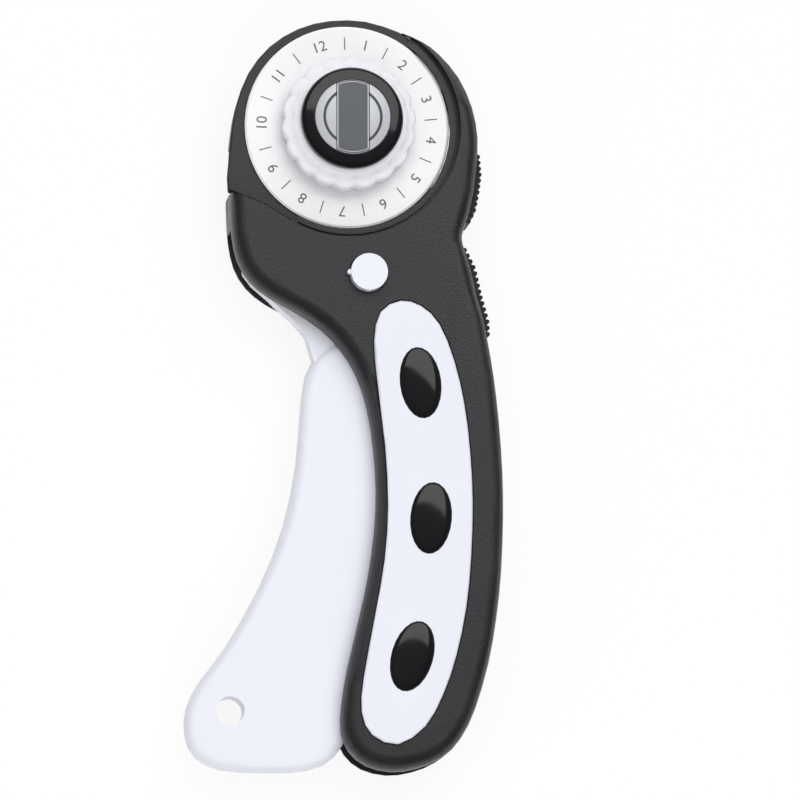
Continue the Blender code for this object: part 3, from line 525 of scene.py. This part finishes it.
def round_head_edge(shell):
    """Rounds the grip's edge where it stands over the ring beside the blade."""
    activate(shell)
    bpy.ops.object.mode_set(mode='EDIT')
    bpy.ops.mesh.select_mode(type='EDGE')
    bpy.ops.mesh.select_all(action='DESELECT')
    bpy.ops.object.mode_set(mode='OBJECT')
    on_wall = []
    for vertex in shell.data.vertices:
        reach = math.hypot(vertex.co.x - AXIS.x, vertex.co.y - AXIS.y)
        on_wall.append(abs(reach - EDGE_WALL) < EDGE_SLACK and vertex.co.z > EDGE_FLOOR)
    for edge in shell.data.edges:
        a, b = (shell.data.vertices[i].co for i in edge.vertices)
        along_wall = on_wall[edge.vertices[0]] and on_wall[edge.vertices[1]]
        edge.select = along_wall and abs(a.z - b.z) < 0.5 * (a - b).length
    bpy.ops.object.mode_set(mode='EDIT')
    bpy.ops.mesh.bevel(offset=sizes().edge, segments=3, affect='EDGES', clamp_overlap=True)
    bpy.ops.object.mode_set(mode='OBJECT')
    return even(settle(shell, angle=42.0))


def taper_tip(shell):
    """Draws the raised edge's tip in, so that it runs out into the guard's outline."""
    for vertex in shell.data.vertices:
        arm = Vector((vertex.co.x - AXIS.x, vertex.co.y - AXIS.y, 0.0))
        turn = math.atan2(arm.y, arm.x)
        if arm.length > TIP_INNER and TIP_START < turn < TIP_END:
            share = min(1.0, (turn - TIP_START) / (TIP_FULL - TIP_START))
            vertex.co -= arm.normalized() * TIP_DRAW * share
    shell.data.update()


class CUTTER_OT_shells(Operator):
    """The two shells of the grip and the blade guard, in grained black"""
    bl_idname = "cutter.shells"
    bl_label = "Shells and guard"

    def execute(self, context):
        for source, name, body in (("front_shell", "grip_front", "handle"),
                                   ("rear_shell", "grip_rear", "handle"),
                                   ("blade_guard", "guard_plate", "guard")):
            ob = solid_copy(source, name, angle=42.0)
            if source == "front_shell":
                round_head_edge(ob)
                taper_tip(ob)
            dress(ob, body_black(), body, source, source)
        return {'FINISHED'}


class CUTTER_OT_inlays(Operator):
    """The white inlays in both faces of the grip"""
    bl_idname = "cutter.inlays"
    bl_label = "Inlays"

    def execute(self, context):
        for side in ("front", "rear"):
            ob = solid_copy(side + "_inlay", "inlay_" + side, angle=60.0)
            dress(ob, inlay_white(), "handle", side + "_inlay", side + "_inlay")
        return {'FINISHED'}


class CUTTER_OT_studs(Operator):
    """The polished oval studs that stand through the inlays"""
    bl_idname = "cutter.studs"
    bl_label = "Grip studs"

    def execute(self, context):
        rise = sizes().stud_rise
        for side, way in (("front", 1.0), ("rear", -1.0)):
            for tag, lean in STUD_LEANS.items():
                source = "%s_grip_stud_%s" % (side, tag)
                low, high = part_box(source)
                crown, seat = (high.z, low.z) if way > 0 else (low.z, high.z)
                start_clean()
                bpy.ops.mesh.primitive_uv_sphere_add(segments=56, ring_count=28, radius=1.0)
                stud = named_active("stud_%s_%s" % (side, tag))
                bpy.ops.object.mode_set(mode='EDIT')
                bpy.ops.mesh.select_all(action='SELECT')
                bpy.ops.mesh.bisect(plane_co=(0, 0, 0.001), plane_no=(0, 0, 1), clear_inner=True)
                bpy.ops.mesh.select_all(action='DESELECT')
                bpy.ops.mesh.select_non_manifold()
                bpy.ops.mesh.extrude_region_move(
                    TRANSFORM_OT_translate={"value": (0, 0, -(abs(crown - seat) - rise) / rise)})
                bpy.ops.mesh.edge_face_add()
                bpy.ops.object.mode_set(mode='OBJECT')
                stud.scale = (STUD_HALF_LENGTH, STUD_HALF_WIDTH, way * rise)
                stud.rotation_euler = (0.0, 0.0, math.radians(lean))
                stud.location = ((low.x + high.x) / 2, (low.y + high.y) / 2, crown - way * rise)
                settle(stud, angle=50.0)
                tidy_mesh(stud)
                dress(stud, gloss_black(), "handle", source, source)
        return {'FINISHED'}


class CUTTER_OT_pads(Operator):
    """The ribbed finger pads on the spine"""
    bl_idname = "cutter.pads"
    bl_label = "Finger pads"

    def execute(self, context):
        for tag in ("upper", "lower"):
            source = "finger_pad_" + tag
            ob = solid_copy(source, "pad_" + tag, angle=30.0, edge=PAD_EDGE)
            dress(ob, pad_rubber(), "handle", source, source)
        return {'FINISHED'}


class CUTTER_OT_lever(Operator):
    """The white squeeze lever"""
    bl_idname = "cutter.lever"
    bl_label = "Squeeze lever"

    def execute(self, context):
        ob = solid_copy("squeeze_lever", "lever_arm", angle=42.0)
        dress(ob, cool_white(), "lever", "squeeze_lever", "squeeze_lever")
        return {'FINISHED'}


class CUTTER_OT_blade(Operator):
    """The round blade with its ground edge"""
    bl_idname = "cutter.blade"
    bl_label = "Blade"

    def execute(self, context):
        outer = (BLADE_HIGH.x - BLADE_LOW.x) / 2
        low, high = BLADE_LOW.z, BLADE_HIGH.z
        middle = (low + high) / 2
        flat = outer - sizes().ground_width
        land = flat - BLADE_LAND
        blade = turned("blade_disc", [(BLADE_BORE, low), (BLADE_BORE, high), (land, high), (flat, high),
                                      (outer, middle + BLADE_TIP), (outer, middle - BLADE_TIP), (flat, low),
                                      (land, low), (BLADE_BORE, low)], steps=192)
        settle(blade, angle=5.0)
        dress(blade, ground_steel(), "blade", "rotary_blade", "rotary_blade")
        return {'FINISHED'}


class CUTTER_OT_marks(Operator):
    """The dial numbers and ticks on the blade"""
    bl_idname = "cutter.marks"
    bl_label = "Blade marks"

    def execute(self, context):
        start_clean()
        top = BLADE_HIGH.z + MARK_LIFT
        ring = sizes().number_ring
        made = []
        short = sizes().number_step
        long = (2 * math.pi - 9 * short) / 3
        turn = FIRST_TICK
        for hour in range(1, 13):
            step = short if hour < 10 else long
            bearing = turn - step / 2
            spot = Vector((math.cos(bearing), math.sin(bearing), 0.0)) * ring
            bpy.ops.object.text_add()
            words = bpy.context.object
            words.data.body = str(hour)
            words.data.size = sizes().number_height * TYPE_SCALE
            words.data.align_x = 'CENTER'
            words.data.align_y = 'CENTER'
            words.data.extrude = MARK_DEPTH
            bpy.ops.object.convert(target='MESH')
            mark = bpy.context.object
            mark.rotation_euler = (0.0, 0.0, bearing - math.pi / 2)
            mark.location = (AXIS.x + spot.x, AXIS.y + spot.y, top)
            made.append(mark)
            start_clean()
            bpy.ops.mesh.primitive_cube_add(size=1.0)
            tick = bpy.context.object
            tick.scale = TICK_SIZE
            tick.rotation_euler = (0.0, 0.0, turn)
            tick.location = (AXIS.x + math.cos(turn) * ring, AXIS.y + math.sin(turn) * ring, top)
            made.append(tick)
            turn -= step
            start_clean()
        for mark in made:
            mark.select_set(True)
        bpy.context.view_layer.objects.active = made[0]
        bpy.ops.object.transform_apply(location=True, rotation=True, scale=True)
        bpy.ops.object.join()
        marks = settle(named_active("blade_marks"), angle=30.0)
        look = plastic("mark_ink", finish().mark, rough=0.5, spread=0.04, grain=3000.0, depth=0.05, tint=0.06)
        dress(marks, look, "blade", "rotary_blade")
        return {'FINISHED'}


class CUTTER_OT_knob(Operator):
    """The fluted clamp knob"""
    bl_idname = "cutter.knob"
    bl_label = "Clamp knob"

    def execute(self, context):
        low, high = KNOB_LOW.z, KNOB_HIGH.z
        rim = low + KNOB_RIM
        hollow = (KNOB_BORE, low + KNOB_HOLLOW)
        # Heights up the knob's side, each with its inset from the reach in millimetres.
        side = [(low, -0.9), (low + 0.3 * MM, -0.35), (low + 0.9 * MM, 0.0), (rim - 0.9 * MM, 0.0),
                (rim - 0.3 * MM, -0.35), (rim, -1.0), (rim + 0.6 * MM, -1.7), (high - 0.4 * MM, -2.55),
                (high, -2.95)]
        outline = [(KNOB_REACH + inset * MM, height) for height, inset in side]
        flutes = sizes().flutes
        knob = turned("knob_grip", [hollow] + outline + [(KNOB_BORE, high), hollow], flutes * FLUTE_STEPS)
        for vertex in knob.data.vertices:
            x, y = vertex.co.x - AXIS.x, vertex.co.y - AXIS.y
            radius = math.hypot(x, y)
            share = min(1.0, max(0.0, (radius - FLUTE_INNER) / FLUTE_FADE))
            if share <= 0.0 or vertex.co.z > rim + FLUTE_TOP:
                continue
            angle = math.atan2(y, x) - sizes().flute_phase
            wave = abs(math.cos(flutes * 0.5 * angle))
            drop = sizes().flute_depth * (1.0 - wave ** FLUTE_SHARPNESS) * share
            vertex.co.x -= x / radius * drop
            vertex.co.y -= y / radius * drop
        tidy_mesh(knob)
        settle(knob, angle=50.0)
        dress(knob, knob_white(), "knob", "clamp_knob", "clamp_knob")
        return {'FINISHED'}


class CUTTER_OT_cap(Operator):
    """The polished cap on the knob, with its plain badge"""
    bl_idname = "cutter.cap"
    bl_label = "Cap and badge"

    def execute(self, context):
        low, high = CAP_LOW.z, CAP_HIGH.z
        reach = (CAP_HIGH.x - CAP_LOW.x) / 2
        seat = low + CAP_SEAT
        well = high - CAP_WELL_DEPTH
        crown = arc_profile((CROWN_CENTRE, high - CROWN_RADIUS), CROWN_RADIUS, *CROWN_ARC)
        drop = high - crown[0][1]
        crown = [(r, z + drop) for r, z in crown]
        turn_in = (crown[-1][0] - SHOULDER_INSET, crown[-1][1] - SHOULDER_DROP)
        shoulder = arc_profile(turn_in, SHOULDER_RADIUS, *SHOULDER_ARC)
        stretch = (reach - CAP_WELL) / (shoulder[-1][0] - crown[0][0])
        dome = [(CAP_WELL + (r - crown[0][0]) * stretch, z) for r, z in crown + shoulder]
        skirt = [(reach, seat + CAP_CHAMFER), (reach - CAP_CHAMFER, seat), (CAP_STEM, seat), (CAP_STEM, low),
                 (0.0, low)]
        cap = turned("cap_dome", [(0.0, well), (CAP_WELL, well)] + dome + skirt, steps=160)
        settle(cap, angle=45.0)
        dress(cap, gloss_black(), "knob", "knob_cap", "knob_cap")

        top, foot = BADGE_HIGH.z, BADGE_LOW.z
        disc = turned("badge_disc", [(0.0, top - DISC_DROP), (DISC_FACE_RADIUS, top - DISC_DROP),
                                     (DISC_RADIUS, top - DISC_CHAMFER_DROP), (DISC_RADIUS, foot),
                                     (0.0, foot)])
        settle(disc)
        silver = metal("badge_silver", (0.6, 0.61, 0.65), rough=0.42, lines=7000.0, depth=0.08, metallic=0.25)
        dress(disc, silver, "knob", "cap_badge", "cap_badge")
        (inner, outer), (under, over) = RING_RADII, (top - drop for drop in RING_DROPS)
        ring = turned("badge_ring", [(inner, under), (inner, over), (outer, over), (outer, under),
                                     (inner, under)])
        settle(ring, angle=30.0)
        ink = plastic("badge_ink", (0.05, 0.05, 0.055), rough=0.4, spread=0.05, grain=3000.0, depth=0.05)
        dress(ring, ink, "knob", "cap_badge")
        return {'FINISHED'}


class CUTTER_OT_plaque(Operator):
    """The bare plaque across the badge, with its pale outline"""
    bl_idname = "cutter.plaque"
    bl_label = "Plaque"

    def execute(self, context):
        face = BADGE_HIGH.z
        grey = (0.125, 0.13, 0.145)
        pale = (0.60, 0.61, 0.64)
        # Three thin layers: name, half width, radius and drop in millimetres, and tone.
        for name, half, radius, drop, tone in (("plaque_edge", 3.75, 8.12, 0.03, grey),
                                               ("plaque_line", 3.42, 7.82, 0.015, pale),
                                               ("plaque_face", 3.28, 7.68, 0.0, grey)):
            start_clean()
            height = face - drop * MM - PLAQUE_DEPTH / 2
            bpy.ops.mesh.primitive_cylinder_add(vertices=160, radius=radius * MM, depth=PLAQUE_DEPTH,
                                                location=(AXIS.x, AXIS.y, height))
            ob = named_active(name)
            activate(ob)
            bpy.ops.object.transform_apply(location=True, rotation=True, scale=True)
            for side in (-1.0, 1.0):
                bpy.ops.object.mode_set(mode='EDIT')
                bpy.ops.mesh.select_all(action='SELECT')
                bpy.ops.mesh.bisect(plane_co=(AXIS.x + side * half * MM, AXIS.y, 0.0),
                                    plane_no=(side, 0.0, 0.0), use_fill=True, clear_outer=True)
                bpy.ops.object.mode_set(mode='OBJECT')
            settle(ob, angle=30.0)
            look = metal(name, tone, rough=0.35, lines=6000.0, depth=0.06, metallic=0.7)
            dress(ob, look, "knob", "cap_badge")
        return {'FINISHED'}


class CUTTER_OT_button(Operator):
    """The lock button"""
    bl_idname = "cutter.button"
    bl_label = "Lock button"

    def execute(self, context):
        middle = ((BUTTON_LOW.x + BUTTON_HIGH.x) / 2, (BUTTON_LOW.y + BUTTON_HIGH.y) / 2)
        reach = (BUTTON_HIGH.x - BUTTON_LOW.x) / 2
        top = BUTTON_HIGH.z
        stem = solid_copy("lock_button", "button_stem", angle=45.0)
        activate(stem)
        bpy.ops.object.mode_set(mode='EDIT')
        bpy.ops.mesh.select_all(action='SELECT')
        bpy.ops.mesh.bisect(plane_co=(*middle, top - BUTTON_CUT), plane_no=(0, 0, 1), use_fill=True,
                            clear_outer=True)
        bpy.ops.object.mode_set(mode='OBJECT')
        dress(stem, cool_white(), "button", "lock_button", "lock_button")
        start_clean()
        bpy.ops.mesh.primitive_cylinder_add(vertices=96, radius=reach, depth=BUTTON_HEAD,
                                            location=(*middle, top - BUTTON_HEAD / 2))
        head = named_active("button_head")
        bpy.ops.object.transform_apply(location=True, rotation=True, scale=True)
        # A notch at the foot of the head and a key at its left, as shares of its radius.
        for x, y, half in ((0.0, -1.02, 0.16), (-1.05, 0.0, 0.13)):
            bpy.ops.object.select_all(action='DESELECT')
            spot = (middle[0] + x * reach, middle[1] + y * reach, top - BUTTON_KEY_DROP)
            bpy.ops.mesh.primitive_cylinder_add(vertices=32, radius=half * reach, depth=BUTTON_KEY,
                                                location=spot)
            tool = bpy.context.object
            step = head.modifiers.new("Key", 'BOOLEAN')
            step.object = tool
            step.operation = 'DIFFERENCE' if y else 'UNION'
            step.solver = 'EXACT'
            apply_modifiers(head)
            bpy.data.objects.remove(tool, do_unlink=True)
        rounded(head, BUTTON_EDGE, segments=3, angle=50.0)
        even(settle(head))
        dress(head, cool_white(), "button", "lock_button")
        ring = solid_copy("button_friction_ring", "button_ring", angle=60.0)
        dress(ring, pad_rubber(), "button", "button_friction_ring", "button_friction_ring")
        return {'FINISHED'}


class CUTTER_OT_hardware(Operator):
    """Pins, spring, bush, bolt, washer, insert and body screws"""
    bl_idname = "cutter.hardware"
    bl_label = "Hardware"

    def execute(self, context):
        brass = metal("turned_brass", (0.62, 0.45, 0.18), rough=0.3, lines=5000.0, depth=0.06)
        # Painted shade: the pivot pin is black so that its head, seen through the narrow gap beside the
        # blade, reads as the dark of that gap. The spring shares the same blackened steel.
        dark = metal("blackened_steel_gap_shade", (0.02, 0.02, 0.022), rough=0.45, lines=4000.0, depth=0.05,
                     metallic=0.6)
        looks = {"knob_thread_insert": brass, "lever_pivot_pin": dark, "lever_return_spring": dark}
        rows = [("lever_pivot_pin", "pivot_pin", "handle"),
                ("lever_return_spring", "return_spring", "handle"),
                ("guard_drive_pin", "drive_pin", "lever"), ("blade_bush", "bush_sleeve", "handle"),
                ("blade_bolt", "clamp_bolt", "handle"), ("spring_washer", "washer_disc", "washer"),
                ("knob_thread_insert", "thread_insert", "knob")]
        rows += [("body_screw_%d" % i, "screw_%d" % i, "handle") for i in range(1, 5)]
        for source, name, body in rows:
            ob = solid_copy(source, name, angle=35.0)
            dress(ob, looks.get(source) or plated_steel(), body, source, source)
        return {'FINISHED'}


def soft_light(name, place, size, power):
    """A rectangular area light, turned to the cutter."""
    bpy.ops.object.light_add(type='AREA', location=place)
    lamp = bpy.context.object
    lamp.name = name
    lamp.data.shape = 'RECTANGLE'
    lamp.data.size = size[0]
    lamp.data.size_y = size[1]
    lamp.data.energy = power
    way = Vector(LIGHT_TARGET) - Vector(place)
    lamp.rotation_euler = way.to_track_quat('-Z', 'Y').to_euler()
    return lamp


def camera_white(tree):
    """A mask for what the camera and mirrors see, a white glow, and an unlinked mix of the two looks."""
    path = node(tree, 'ShaderNodeLightPath', (-600, 300))
    seen = node(tree, 'ShaderNodeMath', (-400, 300), operation='MAXIMUM')
    also = node(tree, 'ShaderNodeMath', (-220, 300), operation='MAXIMUM')
    glow = node(tree, 'ShaderNodeEmission', (-220, 100))
    glow.inputs["Strength"].default_value = 1.0
    mix = node(tree, 'ShaderNodeMixShader', (0, 200))
    tree.links.new(path.outputs["Is Camera Ray"], seen.inputs[0])
    tree.links.new(path.outputs["Is Glossy Ray"], seen.inputs[1])
    tree.links.new(seen.outputs["Value"], also.inputs[0])
    tree.links.new(path.outputs["Is Transmission Ray"], also.inputs[1])
    return also, glow, mix


class CUTTER_OT_stage(Operator):
    """Camera, pale floor and soft lights"""
    bl_idname = "cutter.stage"
    bl_label = "Stage"

    def execute(self, context):
        start_clean()
        stage = context.scene.cutter_stage
        lean = Vector((math.cos(stage.bearing), math.sin(stage.bearing), 0.0))
        side = Vector((lean.y, -lean.x, 0.0))
        back = Vector((-lean.x * math.sin(stage.tilt), -lean.y * math.sin(stage.tilt), math.cos(stage.tilt)))
        along = Vector((lean.x * math.cos(stage.tilt), lean.y * math.cos(stage.tilt), math.sin(stage.tilt)))
        level = along * lean.x + side * lean.y
        upright = along * lean.y - side * lean.x
        right = level * math.cos(stage.roll) + upright * math.sin(stage.roll)
        up = upright * math.cos(stage.roll) - level * math.sin(stage.roll)
        place = Vector(stage.centre) + back * stage.distance
        bpy.ops.object.camera_add()
        camera = context.object
        camera.name = "view"
        camera.matrix_world = Matrix(((right.x, up.x, back.x, place.x), (right.y, up.y, back.y, place.y),
                                      (right.z, up.z, back.z, place.z), (0.0, 0.0, 0.0, 1.0)))
        camera.data.sensor_fit = 'HORIZONTAL'
        camera.data.sensor_width = SENSOR_WIDTH
        camera.data.lens = SENSOR_WIDTH * stage.distance / stage.width
        camera.data.clip_end = 20.0
        context.scene.camera = camera

        bpy.ops.mesh.primitive_plane_add(size=FLOOR_SIZE, location=(0.0, 0.0, -FLOOR_DROP))
        floor = named_active("floor")
        look, tree = new_material("pale_floor")
        shader = tree.nodes["Principled BSDF"]
        shader.inputs["Base Color"].default_value = FLOOR_TINT
        shader.inputs["Roughness"].default_value = FLOOR_ROUGHNESS
        output = tree.nodes["Material Output"]
        seen, glow, mix = camera_white(tree)
        share = node(tree, 'ShaderNodeMath', (-40, 420), operation='MULTIPLY')
        share.inputs[1].default_value = FLOOR_WHITE
        tree.links.new(seen.outputs["Value"], share.inputs[0])
        tree.links.new(share.outputs["Value"], mix.inputs["Fac"])
        tree.links.new(shader.outputs["BSDF"], mix.inputs[1])
        tree.links.new(glow.outputs["Emission"], mix.inputs[2])
        tree.links.new(mix.outputs["Shader"], output.inputs["Surface"])
        floor.data.materials.append(look)

        world = bpy.data.worlds.new("studio")
        context.scene.world = world
        world.use_nodes = True
        tree = world.node_tree
        backdrop = tree.nodes["Background"]
        backdrop.inputs["Color"].default_value = WORLD_TINT
        where = node(tree, 'ShaderNodeTexCoord', (-800, 0))
        facing = node(tree, 'ShaderNodeVectorMath', (-600, 0), operation='DOT_PRODUCT')
        facing.inputs[1].default_value = WORLD_FACING
        rise = node(tree, 'ShaderNodeMapRange', (-400, 0))
        rise.inputs["From Min"].default_value = WORLD_START
        rise.inputs["To Min"].default_value = WORLD_STRENGTHS[0]
        rise.inputs["To Max"].default_value = WORLD_STRENGTHS[1]
        tree.links.new(where.outputs["Generated"], facing.inputs[0])
        tree.links.new(facing.outputs["Value"], rise.inputs["Value"])
        tree.links.new(rise.outputs["Result"], backdrop.inputs["Strength"])

        soft_light(*KEY_LIGHT)
        for row in FILL_LIGHTS:
            soft_light(*row).visible_glossy = False
        context.scene.view_settings.view_transform = 'Standard'
        return {'FINISHED'}


PIECES = (CUTTER_OT_stage, CUTTER_OT_shells, CUTTER_OT_inlays, CUTTER_OT_studs, CUTTER_OT_pads,
          CUTTER_OT_lever, CUTTER_OT_blade, CUTTER_OT_marks, CUTTER_OT_knob, CUTTER_OT_cap, CUTTER_OT_plaque,
          CUTTER_OT_button, CUTTER_OT_hardware)


class CUTTER_PT_panel(Panel):
    """Lists the pieces of the cutter"""
    bl_idname = "CUTTER_PT_panel"
    bl_label = "Rotary cutter"
    bl_space_type = 'VIEW_3D'
    bl_region_type = 'UI'
    bl_category = "Cutter"

    def draw(self, context):
        for piece in PIECES:
            self.layout.operator(piece.bl_idname)
        for group in (context.scene.cutter_finish, context.scene.cutter_sizes, context.scene.cutter_stage):
            for key in group.__annotations__:
                self.layout.prop(group, key)


CLASSES = (CutterFinish, CutterSizes, CutterStage) + PIECES + (CUTTER_PT_panel,)


def register():
    for kind in CLASSES:
        bpy.utils.register_class(kind)
    bpy.types.Scene.cutter_finish = PointerProperty(type=CutterFinish)
    bpy.types.Scene.cutter_sizes = PointerProperty(type=CutterSizes)
    bpy.types.Scene.cutter_stage = PointerProperty(type=CutterStage)


def unregister():
    del bpy.types.Scene.cutter_stage
    del bpy.types.Scene.cutter_sizes
    del bpy.types.Scene.cutter_finish
    for kind in reversed(CLASSES):
        bpy.utils.unregister_class(kind)


def main():
    register()
    for piece in PIECES:
        group, name = piece.bl_idname.split(".")
        getattr(getattr(bpy.ops, group), name)()
    start_clean()


if __name__ == "__main__":
    main()
